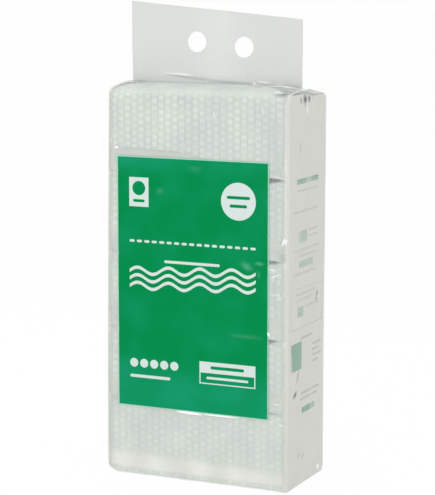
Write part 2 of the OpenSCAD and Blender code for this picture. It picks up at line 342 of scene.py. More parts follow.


# %% [markdown]
# ## Printing ink
# The label is printed on the film in solid green and white. The ink is smooth and dense, with faint
# clouds where the film over the paper lies tight or slack, most near the label's upper and lower edges.
# It turns pale at the border, where the white stops, and along the label's creases, where the paleness is
# a painted highlight on the film's folds. Dense ink soaks up nearly all the light that a bare film would
# send back, so its gloss is low. The small print on the side is thin ink that lets the film's milkiness
# through.


# %% Ink materials
def ink(name, hex_code, cloud_hex, pale_hex, cover, cloudy):
    material, tree, surface = new_material(name)
    place = add(tree, "ShaderNodeTexCoord").outputs["Object"]
    pale = add(tree, "ShaderNodeAttribute", attribute_name="pale").outputs["Fac"]
    slack = add(tree, "ShaderNodeAttribute", attribute_name="slack").outputs["Fac"]
    patches = add(tree, "ShaderNodeTexNoise", {"Scale": 1 / (45 * MM), "Detail": 3}, {"Vector": place})
    cloud = add(
        tree,
        "ShaderNodeMapRange",
        {"From Min": 0.45, "From Max": 0.8, "To Max": cloudy},
        {"Value": patches.outputs["Fac"]},
    )
    shares = {0: cloud.outputs[0], 1: slack}
    milky = add(tree, "ShaderNodeMath", {}, shares, operation="ADD", use_clamp=True)
    clouded = add(
        tree,
        "ShaderNodeMix",
        {6: linear(hex_code), 7: linear(cloud_hex)},
        {0: milky.outputs[0]},
        data_type="RGBA",
    )
    # Pale: the label's white border and the side print's wear are the print's own; along the label's
    # creases it is a painted highlight.
    tint = add(
        tree,
        "ShaderNodeMix",
        {7: linear(pale_hex)},
        {0: pale, 6: clouded.outputs[2]},
        data_type="RGBA",
    )
    tree.links.new(tint.outputs[2], surface.inputs["Base Color"])
    surface.inputs["Alpha"].default_value = cover
    surface.inputs["Roughness"].default_value = 0.3
    surface.inputs["IOR"].default_value = 1.5
    surface.inputs["Specular IOR Level"].default_value = 0.02
    return material


tissue_paper = tissue()
clear_film = film()
solid_green = ink("solid_green_ink", "#008145", "#2AA997", "#8CD0C4", 1.0, 0.16)
solid_white = ink("solid_white_ink", "#C8D3D0", "#BFCCC8", "#9CCAB5", 1.0, 0.3)
thin_green = ink("thin_green_ink", "#84BDA6", "#B8D4C8", "#F4F8F5", 0.28, 0.5)
thin_grey = ink("thin_grey_ink", "#8F9B92", "#C0C6C0", "#F4F8F5", 0.09, 0.6)
print("materials:", ", ".join(m.name for m in bpy.data.materials))

# %% [markdown]
# ## How the pack stands
# A soft pack doesn't stand quite true. The left side leans in towards the top, and the roof sags at its
# right end. Bundles and film share these two functions, so that they move together.

# %% Lean and droop
lean_top = 2.8
lean_foot = 1.3
lean_right = 0.9
lean_from = 86
lean_right_band = (120, 380)
lean_curve = 1.6
droop_right = 3.4
droop_from = 80
droop_height = 66
droop_full = 8


def lean(x, z):
    if x > 0:
        return lean_right * smooth(x, lean_from, half_w) * smooth(z, *lean_right_band)
    rise = max(0.0, z / ridge_z) ** lean_curve
    return smooth(-x, lean_from, half_w) * ((lean_foot + lean_top) * rise - lean_foot)


def droop(x, z):
    fall = droop_right * smooth(x, droop_from, half_w)
    return fall * smooth(z, ridge_z - droop_height, ridge_z - droop_full)


# %% [markdown]
# ## The form of the bag
# The bag decides how high the paper can swell, so its form comes first. The roof falls from the ridge
# under the tab to the front and the back, and most at the left end, where the film is drawn tight. At
# each end the film is tucked in under the roof, as the sealing machine does. The left tuck is pressed
# flat, and the right one stands open, with a notch where its film is gathered.

# %% Roof and lips
front_drop = 4.2
front_drop_left = 1.5
front_drop_from = 50
front_curve = 1.6
rear_drop = 8.4
lip_drop_left = 0.9
lip_drop_right = 4.0
lip_drop_rear = 3.6
lip_middle = 30
lip_rear_band = (-8, 12)
tuck_half_w = 42
tuck_depth = 42
notch_y = -8
notch_half_w = 7
notch_depth = 1.5
notch_band = (50, 90)
lip_thin = 0.5
lip_thick = 0.7


def roof(x, y):
    if y < 0:
        drop = front_drop + front_drop_left * smooth(-x, front_drop_from, half_w)
        return ridge_z - drop * (-y / half_d) ** front_curve
    return ridge_z - rear_drop * y / half_d


def lip_without_notch(x, y):
    right = smooth(x, -lip_middle, lip_middle)
    more = lip_drop_right - lip_drop_left + lip_drop_rear * smooth(y, *lip_rear_band)
    drop = lip_drop_left + more * right
    return min(ridge_z - drop, roof(x, y) - lip_thin - lip_thick * right)


def lip_height(x, y):
    notch = notch_depth * bell(y, notch_y, notch_half_w) * smooth(x, *notch_band)
    return lip_without_notch(x, y) - notch


def tuck_reach(y):
    return max(0.0, tuck_depth * (1 - abs(y) / tuck_half_w))


# %% [markdown]
# ## The embossing
# The dots stand in staggered columns: the columns are 7.6 mm apart, the dots in a column 7.4 mm, and each
# column is half a step higher than the last. The product of a wave across and a wave up changes sign from
# one column to the next, which gives exactly that stagger, so no list of dots is needed. Between two
# columns runs a fine upright groove, which shows more than the gap between two dots of one column.

# %% Dots
column_pitch = 7.63
row_pitch = 7.4
dot_height = 0.45
between_dots = 0.4
groove_band = (0.05, 0.55)
dot_band = (-0.9, 0.7)


def dots(x, s):
    across = math.cos(math.pi * x / column_pitch)
    up = math.cos(math.tau * s / row_pitch)
    column = smooth(abs(across), *groove_band)
    dot = smooth(across * up, *dot_band)
    return column * (between_dots + (1 - between_dots) * dot)


# %% [markdown]
# ## Bundles of folded sheets
# A bundle is about 200 sheets, each folded round the next, stacked from front to back. From the front it
# shows one embossed panel, whose lower edge ends over the plain tail of the sheet behind it. At its ends
# it shows the edges of the sheets, in clumps that have slid a little.
#
# Each bundle starts as a block whose long edges are rounded with a bevel, because a fold is round and a
# cut end is sharp. Even cuts then give the front and back a grid of seven steps to each dot, and the
# grid's points are pressed into the dots.

# %% The plain block of a bundle
steps_per_dot = 7
fold_r = 2.5
clump = 4.5
clump_gap = 0.25
film_gap = 1.0
paper_half_d = half_d - film_gap


def folded_block(height, top_too):
    width = 2 * stack_half_w
    depth = 2 * paper_half_d
    bm = block(width, depth, height)
    long_edges = [e for e in bm.edges if abs(e.verts[0].co.x - e.verts[1].co.x) > width / 2]
    if top_too:
        long_edges = [e for e in long_edges if e.verts[0].co.z < height / 2]
    bmesh.ops.bevel(
        bm,
        geom=long_edges,
        offset=fold_r,
        offset_type="OFFSET",
        segments=3,
        profile=0.5,
        affect="EDGES",
        material=-1,
    )
    cut_evenly(bm, 0, 2 * round(width / 2 / column_pitch * steps_per_dot) - 1)
    cut_evenly(bm, 2, round(height / row_pitch * steps_per_dot) - 1, lambda e: e.calc_length() > 2 * fold_r)
    if top_too:

        def on_top(edge):
            return edge.verts[0].co.z > height - tiny and edge.calc_length() > 2 * fold_r

        cut_evenly(bm, 1, round(depth / row_pitch * steps_per_dot) - 1, on_top)
    return bm


# %% [markdown]
# The ends are cut into upright strips with two close planes at each clump's edge. Each strip can then
# slide out or in by itself, and the narrow strip between two clumps becomes the wall of the step.


# %% Ends of a bundle
slide_in = 0.7
slide_out = 0.4
facing = 0.9


def cut_ends(bm):
    ends = [f for f in bm.faces if abs(f.normal.x) > facing]
    edges = dict.fromkeys(e for f in ends for e in f.edges)
    verts = dict.fromkeys(v for f in ends for v in f.verts)
    geometry = ends + list(edges) + list(verts)
    y = -paper_half_d + clump
    while y < paper_half_d - clump / 2:
        for wall in (y, y + clump_gap):
            cut = bmesh.ops.bisect_plane(
                bm, geom=geometry, plane_co=(0, wall, 0), plane_no=(0, 1, 0), dist=tiny
            )
            geometry = cut["geom"]
        y += clump


def clump_slides(seed):
    draw = random.Random(seed)
    count = math.ceil(2 * paper_half_d / clump) + 1
    return [[draw.uniform(-slide_in, slide_out) for _ in range(count)] for _ in range(2)]


# %% [markdown]
# Where two bundles meet in front, their folds have sprung apart into a narrow mouth. On the right the
# mouths narrow towards the end of the pack, and on the left the film holds them shut. The top bundle
# swells until it fills the roof of the bag, and lies under the tucked film at its ends.

# %% Mouths and shoulders
Mouth = namedtuple("Mouth", "below above end")
mouths = [Mouth(0.2, 0.1, 84), Mouth(3.0, 0.6, 92), Mouth(4.2, 0.6, 95), Mouth(4.2, 0.4, 104)]
no_mouth = Mouth(0, 0, 99)
mouth_left_end = 84
mouth_taper = 28
mouth_curve = 0.8
mouth_depth = 24
mouth_rise = 9
plain_from = 6.5
plain_tone = [1.0, 0.3, 0.3, 0.3, 0.2]
dot_strength = [0.6, 0.8, 0.9, 0.9, 1.0]
upright_r = 2.5
rear_shoulder_r = 9
foot_left_r = 14
shoulder_r = 7
shoulder_r_more = 3
shoulder_more_from = 40
tail_top = 22.5
top_tail = 26
tail_slopes = {0: [(4, (-60, 100))], top_number: [(5, (-90, 0)), (12, (-5, 35))]}
tucked_band = (-10, 4)


def front_shoulder_r(x):
    return shoulder_r + shoulder_r_more * smooth(-x, shoulder_more_from, half_w)


def mouth_share(mouth, x):
    end = mouth.end if x > 0 else mouth_left_end
    return min(1.0, max(0.0, end - abs(x)) / mouth_taper) ** mouth_curve


def plain_until(number, x):
    until = top_tail if number == top_number else tail_top
    for drop, band in tail_slopes.get(number, []):
        until -= drop * smooth(x, *band)
    return until


def paper_top(x, y):
    tucked = smooth(tuck_reach(y) - (half_w - abs(x)), *tucked_band)
    top = roof(x, y)
    return top - film_gap - tucked * (top - lip_without_notch(x, y))


def bundle_corners(x, y, z, number, foot):
    side = math.copysign(1, x)
    rear = math.copysign(1, y)
    x, y = round_corner(x, y, side * stack_half_w, rear * paper_half_d, -side, -rear, upright_r)
    if number == 0 and side < 0:
        x, z = round_corner(x, z, -stack_half_w, 0, 1, 1, foot_left_r - film_gap)
    if number == top_number:
        top = paper_top(x, rear * paper_half_d) - foot
        radius = rear_shoulder_r if rear > 0 else front_shoulder_r(x)
        y, z = round_corner(y, z, rear * paper_half_d, top, -rear, -1, radius)
    return x, y, z


# %% [markdown]
# Each point of a bundle is pressed into the dots along its normal, drawn into the mouths, slid with its
# clump of sheets, and rounded at the corners. Three attributes tell the material how much painted shade
# the dots' relief gives each point, how plain it is, and how much painted shade it gets deep in a mouth.


# %% The form of each bundle
shoulder_band = (76, 92)
shoulder_fade = 0.8
edge_soft = 1.5
tail_soft = [5, 1.5, 1.5, 1.5, 1.5]
patch = 7
patch_middle = 0.8
patch_change = 0.9
layer_apart = 50
sag_depth = 0.15
sag_length = 45
sag_apart = 200
ledge_depth = 0.15
unpressed = 0.5
fold_shade = 0.15
drawn_back = 0.7
drawn_band = (82, 94)


def pressing(number, x, s):
    push = patch_middle + patch_change * noise.noise(Vector((x, s, number * layer_apart)) / patch)
    fade = 1 - shoulder_fade * smooth(s, *shoulder_band) if number == top_number else 1
    return dot_strength[number] * push * fade


def shape_bundle(bm, number, foot, height):
    dot_painted_shade, plain, mouth_painted_shade = new_layers(bm, "dot_painted_shade", "plain", "mouth_painted_shade")
    top_one = number == top_number
    over = no_mouth if top_one else mouths[number]
    under = mouths[number - 1] if number else no_mouth
    slides = clump_slides(number + 1)
    bm.normal_update()
    for v in bm.verts:
        x, y, z = v.co
        front = y < near - paper_half_d + fold_r
        back = y > paper_half_d - fold_r - near
        upper = z > height / 2
        s = z + (y + paper_half_d if top_one else 0)
        tail = plain_until(number, x)
        tail_end = smooth(s, tail - tail_soft[number], tail + tail_soft[number])
        pressed = 1 - smooth(s, plain_from - edge_soft, plain_from + edge_soft) * (1 - tail_end)
        pressed *= 1 if front or back or (top_one and z > height - fold_r) else 0
        level = dots(x, s) * pressed
        strength = pressing(number, x, s)
        sag = sag_depth * noise.noise(Vector((x, y, z + sag_apart * number)) / sag_length)
        ledge = ledge_depth * tail_end if front else 0
        open_share = mouth_share(over if upper else under, x)
        faces_bundle = number < top_number if upper else number > 0
        # Painted shade of the dots: darker in the hollows, lighter on the dots.
        v[dot_painted_shade] = level * strength + unpressed * (1 - strength)
        v[plain] = plain_tone[number] * (1 - pressed) if front else 0
        # Painted shade in the mouths between bundles, darkest where a mouth stands open.
        shade = fold_shade + (1 - fold_shade) * open_share
        in_joint = faces_bundle and min(z, height - z) < fold_r
        v[mouth_painted_shade] = smooth(y, -paper_half_d, -paper_half_d + fold_r) * shade if in_joint else 0
        relief = dot_height * (strength * level - unpressed * pressed)
        moved = v.co + v.normal * (relief + ledge + sag)
        inward = max(0.0, 1 - (y + paper_half_d) / mouth_depth) if y < 0 else 0
        at_top = smooth(z, height - mouth_rise, height - fold_r)
        at_foot = 1 - smooth(z, fold_r, mouth_rise)
        moved.z -= over.below * mouth_share(over, x) * inward * at_top
        moved.z += under.above * mouth_share(under, x) * inward * at_foot
        if front and not (top_one and upper):
            moved.y -= drawn_back * (y + paper_half_d) * smooth(abs(x), *drawn_band)
        if top_one:
            moved.z += (paper_top(x, y) - foot - height) * smooth(z, 0, height)
        if abs(x) > stack_half_w - tiny:
            nth = max(0, math.floor((y + paper_half_d - clump_gap / 2) / clump))
            moved.x += math.copysign(slides[x > 0][nth], x)
        moved = Vector(bundle_corners(*moved, number, foot))
        moved.z += foot
        v.co = moved + Vector((lean(moved.x, moved.z), 0, -droop(moved.x, moved.z)))


for number, node in enumerate(bundle_names):
    foot = box_mm(node)[0].z
    top = joints[number] if number < top_number else ridge_z - front_drop
    height = top - foot
    bm = folded_block(height, top_too=number == top_number)
    cut_ends(bm)
    shape_bundle(bm, number, foot, height)
    make_piece(bm, f"folded_sheets_{number + 1}", tissue_paper, node)

# %% [markdown]
# ## The shape of the film bag
# Film has no thickness worth drawing, so the bag is one closed skin. It starts as a block that is cut
# into a grid, finer towards the edges, because a grid can be bent, tucked and wrinkled point by point.
# First the top is raised into its roof, then the ends of the roof are tucked in, as the sealing machine
# does, and then the edges are rounded.

# %% Sizes of the bag
columns = 92
ranks = 44
rows = 190
edge_r = 4
rear_top_r = 10
foot_rear_r = 16
end_r = 2
pocket_rows = 4
crowding = 0.5


def finer_at_ends(place, half):
    t = place / half
    return half * (t + crowding * math.sin(math.pi * t) / math.pi)


def lift(x, y, z):
    share = z / ridge_z * rows
    lip = lip_height(x, y)
    below = rows - pocket_rows
    if share <= below:
        return lip * share / below
    return lip + (roof(x, y) - lip) * (share - below) / pocket_rows


# %% [markdown]
# The tuck is a V: the film runs in from the lip of the side panel to a fold under the roof, and out again
# to the roof's edge. It is deepest in the middle and runs out to nothing at both ends of its mouth.


# %% Tucking and rounding
def tuck(x, y, z):
    lip = lip_height(x, y)
    if abs(x) < half_w - tiny or z < lip or abs(y) > tuck_half_w:
        return x
    t = (z - lip) / max(slight, roof(x, y) - lip)
    return x - math.copysign(tuck_reach(y) * (1 - abs(2 * t - 1)), x)


def rounded(x, y, z):
    side = math.copysign(1, x)
    rear = math.copysign(1, y)
    y, z = round_corner(y, z, -half_d, roof(x, -half_d), 1, -1, front_shoulder_r(x))
    y, z = round_corner(y, z, half_d, roof(x, half_d), -1, -1, rear_top_r)
    y, z = round_corner(y, z, half_d, 0, -1, 1, foot_rear_r)
    y, z = round_corner(y, z, -half_d, 0, 1, 1, end_r)
    x, z = round_corner(x, z, side * half_w, 0, -side, 1, foot_left_r if side < 0 else end_r)
    x, y = round_corner(x, y, side * half_w, rear * half_d, -side, -rear, edge_r)
    return x, y, z


# %% [markdown]
# ## Wrinkles
# The film's relief is one function of the place on the bag, and the printed label uses it too, so print and
# film can't part. It adds up the slight hollow at each joint, long soft ripples, and creases. A
# crease is given by its two ends, its width and its height, and by how white or how dark it paints the
# film: its white is painted highlight and glint on the fold, with some of the whitening of creased film,
# and its dark is painted shade in the fold. These creases are where the film was gathered: at the ends of
# the mouths, under the label, and at the tucks.

# %% Creases of the film
Crease = namedtuple("Crease", "start end width height white dark")
# Front creases: their white is painted highlight and glint, their dark is painted shade at the mouths and
# folds.
front_creases = [
    Crease((-89, 340.5), (6, 338.5), 1.3, -0.25, 0, 0.13),
    Crease((-92, 341), (-86, 341.3), 1.2, 0.3, 0.9, 0),
    Crease((-20, 72.2), (7, 71.6), 1.4, 0.35, 1, 0),
    Crease((9, 72.2), (49, 72.3), 0.9, 0.3, 1, 0),
    Crease((95, 251), (97.5, 258), 0.9, 0.3, 0.7, 0),
    Crease((98, 252), (99.5, 257), 0.8, 0.2, 0.4, 0),
    Crease((80, 233), (90, 231.5), 0.9, -0.2, 0, 0.3),
    Crease((93, 242), (97, 235.5), 3.8, -0.2, 0, 0.24),
    Crease((81, 227), (90, 225), 1.5, 0.3, 0.5, 0),
    Crease((83, 219), (91, 221), 1.3, 0.3, 0.45, 0),
    Crease((85, 200), (91, 202.5), 1.0, 0.3, 0.4, 0),
    Crease((88, 195.5), (95, 199), 1.0, 0.3, 0.4, 0),
    Crease((90, 204), (93, 197), 0.9, 0.3, 0.35, 0),
    Crease((79.5, 190), (81, 177), 1.6, 0.2, 0.3, 0),
    Crease((97.5, 206), (98, 176), 0.8, -0.2, 0, 0.16),
    Crease((86, 212), (87, 190), 0.9, -0.2, 0, 0.14),
    Crease((79.5, 163), (82, 159), 1.4, 0.3, 0.9, 0),
    Crease((77, 153.5), (86, 151.3), 1.1, -0.2, 0, 0.45),
    Crease((88, 90), (94, 90.6), 1.1, 0.3, 0.5, 0),
    Crease((92, 71), (97, 68.5), 1.3, 0.3, 0.5, 0),
    Crease((80, 79.5), (92, 80), 1.2, -0.2, 0, 0.12),
    Crease((85.5, 400.4), (97.5, 400.3), 0.85, -0.2, 0, 0.9),
    Crease((84, 402.5), (99, 401.6), 0.9, 0.3, 0.6, 0),
    Crease((73, 392), (74, 380), 1.0, 0.25, 0.35, 0),
    Crease((84, 319.8), (98, 316.6), 0.8, 0.25, 0.35, 0),
    Crease((90, 391), (95, 388), 1.5, 0.2, 0.3, 0),
    Crease((-94, 383), (-90, 380), 2.0, 0.2, 0.35, 0),
    Crease((20, 382), (23, 372), 1.2, 0.25, 0.4, 0),
]
# The label's creases: their paleness is a painted highlight on the film's folds under the ink.
label_creases = [
    Crease((53, 229.5), (61, 226), 2.6, 0.25, 0.28, 0),
    Crease((67, 231.5), (74, 231), 1.2, 0.2, 0.3, 0),
    Crease((66, 229), (69.5, 220), 1.3, 0.25, 0, 0),
    Crease((69, 224), (70, 218), 1.0, 0.2, 0.2, 0),
    Crease((-42, 297), (-37, 300), 2.2, 0.2, 0.14, 0),
    Crease((-6, 323), (6, 323), 2.0, 0.2, 0.08, 0),
    Crease((40, 157), (72, 156), 1.6, 0.2, 0.09, 0),
]
# Side creases: mostly painted shade of the pucker at the right tuck, with a few painted glints.
side_creases = [
    Crease((-18.9, 354), (-23, 338.5), 2.6, -0.2, 0, 0.42),
    Crease((28.2, 194.5), (25.4, 189), 2.4, -0.2, 0, 0.9),
    Crease((25.4, 189), (24, 184), 2.6, -0.2, 0, 0.7),
    Crease((-19, 121.5), (-27, 106.5), 3.4, -0.2, 0, 0.5),
    Crease((-34.5, 94.5), (-26, 99), 3.0, -0.3, 0, 1),
    Crease((-48, 91), (-39, 94.5), 2.2, -0.2, 0, 0.3),
    Crease((31, 8), (34, 8), 2.0, 0.2, 0.8, 0),
    Crease((-23, 29.5), (-17, 35), 3.0, -0.2, 0, 0.45),
    Crease((-11, 26.5), (-7.4, 32.5), 3.0, -0.2, 0, 0.45),
    Crease((-5.2, 389), (-3.6, 388.4), 1.5, 0.3, 1, 0),
    Crease((-5, 387), (-4, 379.5), 1.4, 0.3, 0.28, 0),
    Crease((1, 387), (3, 379.5), 1.3, -0.2, 0, 0.25),
    Crease((-21.5, 396), (-19.5, 389.5), 2.6, -0.4, 0, 0.75),
    Crease((-12, 397.5), (-9.5, 389.5), 4.2, -0.6, 0, 1),
    Crease((-15, 394.2), (2, 393.8), 3.2, -0.2, 0, 0.5),
    Crease((-5.8, 396), (-4.6, 391.5), 1.4, 0.5, 1, 0),
    Crease((0.5, 397), (0.8, 390), 3.0, -0.5, 0, 1),
    Crease((8, 397), (9.5, 390.5), 2.4, -0.4, 0, 0.35),
]
# Roof creases: white is painted highlight on the folds, dark is painted shade.
roof_creases = [
    Crease((45, -6), (59, -11), 1.8, 0.3, 0.5, 0),
    Crease((47, -12), (60, -20), 1.6, -0.3, 0, 0.2),
    Crease((55, -24), (64, -25), 1.5, 0.3, 0.4, 0),
    Crease((72, -6), (76, -9), 1.8, 0.3, 0.9, 0),
    Crease((95, -9), (101, -7), 1.4, 0.3, 0.8, 0),
    Crease((96, -3), (101, -1), 1.4, 0.3, 0.7, 0),
    Crease((82, -13), (87, -16), 1.8, 0.3, 0.8, 0),
    Crease((70, -14), (92, -22), 2.0, -0.3, 0, 0.15),
    Crease((85, -30), (97, -28), 2.6, -0.3, 0, 0.25),
    Crease((-49, 8), (-17, -3), 1.6, 0.2, 0.2, 0),
    Crease((-17, -3), (6, -15), 1.8, -0.2, 0, 0.12),
    Crease((6, -15), (38, -26), 1.6, 0.2, 0.3, 0),
    Crease((38, -26), (52, -31), 1.8, -0.2, 0, 0.15),
]


at_its_ends = 0.15


def along_line(a, b, start, end):
    run = Vector(end) - Vector(start)
    point = Vector((a, b)) - Vector(start)
    t = min(1.0, max(0.0, point.dot(run) / run.length_squared))
    return (point - run * t).length, t


def creased(creases, a, b):
    depth = white = dark = 0.0
    for crease_and_highlight in creases:
        reach = 3 * crease_and_highlight.width
        low, high = sorted((crease_and_highlight.start[1], crease_and_highlight.end[1]))
        if not low - reach < b < high + reach:
            continue
        away, t = along_line(a, b, crease_and_highlight.start, crease_and_highlight.end)
        along = at_its_ends + (1 - 2 * at_its_ends) * t
        level = bell(away, 0, crease_and_highlight.width) * math.sin(math.pi * along)
        depth += crease_and_highlight.height * level
        white = max(white, crease_and_highlight.white * level)
        dark = max(dark, crease_and_highlight.dark * level)
    return depth, white, dark


# %% [markdown]
# The front and the side have their own long ripples. Behind the label the film sinks half a millimetre,
# out of the ink's way.

# %% Relief of the panels
behind = 0.5
behind_band = (0.5, 2)
loose_band = (60, 88)
front_swell = 0.2
joint_hollow = 0.15
loose_hollow = 0.25
joint_width = 3.5
ripple = 0.22
ripple_floor = 0.55
ripple_middle = 0.4
side_swell = 0.3
gather_depth = 0.5
gather_width = 3
gather_band = (330, 396)


def front_relief(x, z):
    edge = smooth(abs(x), *loose_band)
    depth = front_swell * noise.noise(Vector((x / 26, z / 60, 3)))
    for joint in joints:
        depth -= (joint_hollow + loose_hollow * edge) * bell(z, joint, joint_width)
    ridges = 1 - abs(noise.noise(Vector((x / 13, z / 34, 9)))) * 2
    return depth + ripple * max(0.0, ridges - ripple_floor) * (ripple_middle + edge)


def side_relief(y, z):
    gather = bell(y, notch_y, gather_width) * smooth(z, *gather_band)
    return side_swell * noise.noise(Vector((y / 30, z / 70, 21))) - gather_depth * gather


def behind_label(x, z):
    across = min(x - label_low.x, label_high.x - x)
    up = min(z - label_low.z, label_high.z - z)
    return behind * smooth(min(across, up), *behind_band)


# %% [markdown]
# ## Building the bag's skin
# Each point of the grid is lifted, rounded, tucked and wrinkled in turn. Haze is high on the sides, where
# the tucked film lies double, and low in front, where it comes and goes with how tightly the film clings.
# Over a mouth between two bundles the film is pulled clear, and past the mouth's end it is gathered and
# milky. Film that lies hidden between other layers can't be seen, so it gets almost no haze.

# %% Haze of the film
front_haze = 0.26
low_haze = -0.05
side_haze = 0.85
roof_haze = 0.22
hidden_haze = 0.05
open_tuck_haze = 0.4
strip_haze = 0.12
corner_haze = 0.15
gathered_haze = 0.2
open_clear = 0.06
least_haze = 0.08
cling = 0.14
side_band = (half_w - edge_r - 1.5, half_w - 0.3)
low_band = (10, 90)
roof_band = (388, 402)
corner_band = (92, 98)
strip_band = (76, 84)
strip_foot_band = (120, 200)
strip_top_band = (340, 380)
closing_from = 9
closing_to = 3
closing_left = 4


def haze_at(x, y, z):
    on_side = smooth(abs(x), *side_band)
    level = front_haze + cling * noise.noise(Vector((x / 22, y / 30, z / 30)))
    level += low_haze * (1 - smooth(z, *low_band)) + (roof_haze - front_haze) * smooth(z, *roof_band)
    level += corner_haze * smooth(abs(x), *corner_band)
    strip = strip_haze * smooth(x, *strip_band) * smooth(z, *strip_foot_band)
    level += strip * (1 - smooth(z, *strip_top_band))
    if y < 0:
        for joint, mouth in zip(joints, mouths):
            beside = bell(z, joint - mouth.below / 2, joint_width)
            closed = smooth(x, mouth.end - closing_from, mouth.end - closing_to)
            closed += smooth(-x, mouth_left_end, mouth_left_end + closing_left)
            level += beside * (gathered_haze * closed - open_clear * (1 - closed))
    return max(least_haze, level + (side_haze - level) * on_side)


# %% [markdown]
# A narrow crease needs smaller cells than the rest of the bag. So every edge near a crease is cut in two,
# twice, before the points are moved, and the large plain areas stay coarse.

# %% Finer cells at the creases
lip_margin = 0.5
fold_over = 8


def laid_out(flat):
    x = finer_at_ends(flat.x, half_w)
    y = finer_at_ends(flat.y, half_d)
    return x, y, lift(x, y, flat.z)


def crease_at(flat, x, y, z):
    z_seen = z - droop(x, z)
    if flat.y < tiny - half_d or (y < fold_over - half_d and flat.z > ridge_z - tiny):
        return creased(front_creases, x, z_seen)
    if flat.x > half_w - tiny and z < lip_height(x, y) + lip_margin:
        return creased(side_creases, y, z_seen)
    if flat.z > ridge_z - tiny:
        return creased(roof_creases, x, y)
    return 0.0, 0.0, 0.0


def cut_near(bm, relief, shallow=0.03, times=2):
    for _ in range(times):
        edges = [e for e in bm.edges if abs(relief((e.verts[0].co + e.verts[1].co) / 2)) > shallow]
        bmesh.ops.subdivide_edges(bm, edges=edges, cuts=1, use_grid_fill=True)


# %% The bag's skin
def wrinkle(v, flat):
    x, y, z = v.co
    depth, white, dark = crease_at(flat, x, y, z)
    z_seen = z - droop(x, z)
    if flat.y < tiny - half_d:
        v.co.y -= depth + front_relief(x, z_seen) - behind_label(x, z)
    elif flat.y > half_d - tiny:
        v.co.y += front_relief(-x, z)
    elif abs(flat.x) > half_w - tiny and z < lip_height(x, y) + lip_margin:
        v.co.x += math.copysign(depth + side_relief(y, z_seen), x)
    elif flat.z > ridge_z - tiny:
        v.co.z += depth
    return white, dark


def bag_skin():
    bm = block(2 * half_w, 2 * half_d, ridge_z)
    cut_evenly(bm, 0, columns - 1)
    cut_evenly(bm, 1, ranks - 1)
    cut_evenly(bm, 2, rows - 1)
    cut_near(bm, lambda flat: crease_at(flat, *laid_out(flat))[0])
    haze, crease_and_highlight, fold_painted_shade = new_layers(bm, "haze", "crease_and_highlight", "fold_painted_shade")
    for v in bm.verts:
        flat = v.co.copy()
        x, y, z = laid_out(flat)
        drawn_in = tuck(x, y, z) - x
        place = rounded(x, y, z)
        v.co = (place[0] + drawn_in, place[1], place[2])
        # the film's painted highlights and painted shade from its creases
        v[crease_and_highlight], v[fold_painted_shade] = wrinkle(v, flat)
        v[haze] = haze_at(*v.co)
        lip = lip_height(x, y)
        if abs(drawn_in) > near:
            lower_half = z < (lip + roof(x, y)) / 2 + slight
            v[haze] = open_tuck_haze if x > 0 and lower_half else hidden_haze
        elif x < tiny - half_w and lip - lip_margin < z < roof(x, y) - tiny:
            v[haze] = hidden_haze
        v.co += Vector((lean(v.co.x, v.co.z), 0, -droop(v.co.x, v.co.z)))
    return bm


# %% [markdown]
# ## The tab
# Above the roof both films are sealed flat to each other. The tab starts as a thin block with an even
# grid. Its cut edge slopes down to the right, its foot follows the roof, and it waves a little, as a
# sealed strip does. The two holes are punched with a boolean, as on the machine.

# %% The tab
tab_cell = 2
tab_thick = 1
tab_haze = 0.535
tab_right_haze = 0.06
tab_middle_clear = 0.1
tab_middle = (2, 30)
tab_foot_haze = 0.02
tab_foot_height = 10
edge_haze = 0.1
rim_angle = 1.2
rim_from = 4
# tab_white scales the tab's painted highlights, and tab_dark its painted shade.
tab_white = 0.8
tab_dark = 0.6
tab_creases = [
    Crease((-58, 414.8), (-25, 413), 1.2, 0.3, 0.9, 0),
    Crease((-54, 413.4), (-28, 410.6), 1.3, -0.3, 0, 0.42),
    Crease((-34, 411), (-8, 408.3), 1.3, -0.3, 0, 0.36),
    Crease((-10, 408), (40, 405.9), 1.1, -0.3, 0, 0.4),
    Crease((-12, 411.5), (36, 409), 1.6, 0.2, 0.2, 0),
    Crease((41, 406), (45, 406.5), 1.8, 0.3, 1, 0),
    Crease((46, 409), (60, 407.6), 1.4, 0.3, 0.7, 0),
    Crease((66, 406), (73, 405.6), 1.2, 0.3, 0.5, 0),
    Crease((74.5, 405), (78, 404.4), 1.3, 0.3, 1, 0),
    Crease((-25, 425), (-17, 415), 1.6, 0.3, 0.15, 0),
    Crease((30, 416), (34, 413), 2.0, 0.3, 0.3, 0),
]
wave_rise = 40
wave_depth = 1.2
wave_length = 38
wave_start = 0.6
wave_change = 0.8
sunk_height = 28
tab_foot = ridge_z - 1.5
bores = [m for m in frame["record"]["mounts"] if m["kind"] == "bore"]
hole_r = bores[0]["dims"]["r_mm"]
holes = [Vector(m["pos_m"]) / MM for m in bores]


def wave(x, z):
    up = smooth(z, ridge_z, ridge_z + wave_rise)
    long_wave = wave_depth * math.sin(x / wave_length + wave_start)
    return up * (long_wave + wave_change * noise.noise(Vector((x / 40, z / 30, 5))))


def tab_skin():
    tab_h = tab_top_left - tab_foot
    bm = block(2 * tab_half_w, tab_thick, tab_h)
    cut_evenly(bm, 0, round(2 * tab_half_w / tab_cell) - 1)
    cut_evenly(bm, 2, round(tab_h / tab_cell) - 1)
    cut_near(bm, lambda flat: creased(tab_creases, flat.x, flat.z + tab_foot)[0])
    for v in bm.verts:
        x, y, z = v.co
        top = tab_top_left + (tab_top_right - tab_top_left) * (x + tab_half_w) / (2 * tab_half_w)
        z = tab_foot + z / tab_h * (top - tab_foot)
        sunk = droop(x, ridge_z) * (1 - smooth(z, ridge_z, ridge_z + sunk_height))
        v.co = (x, y, z - sunk)
    return bm


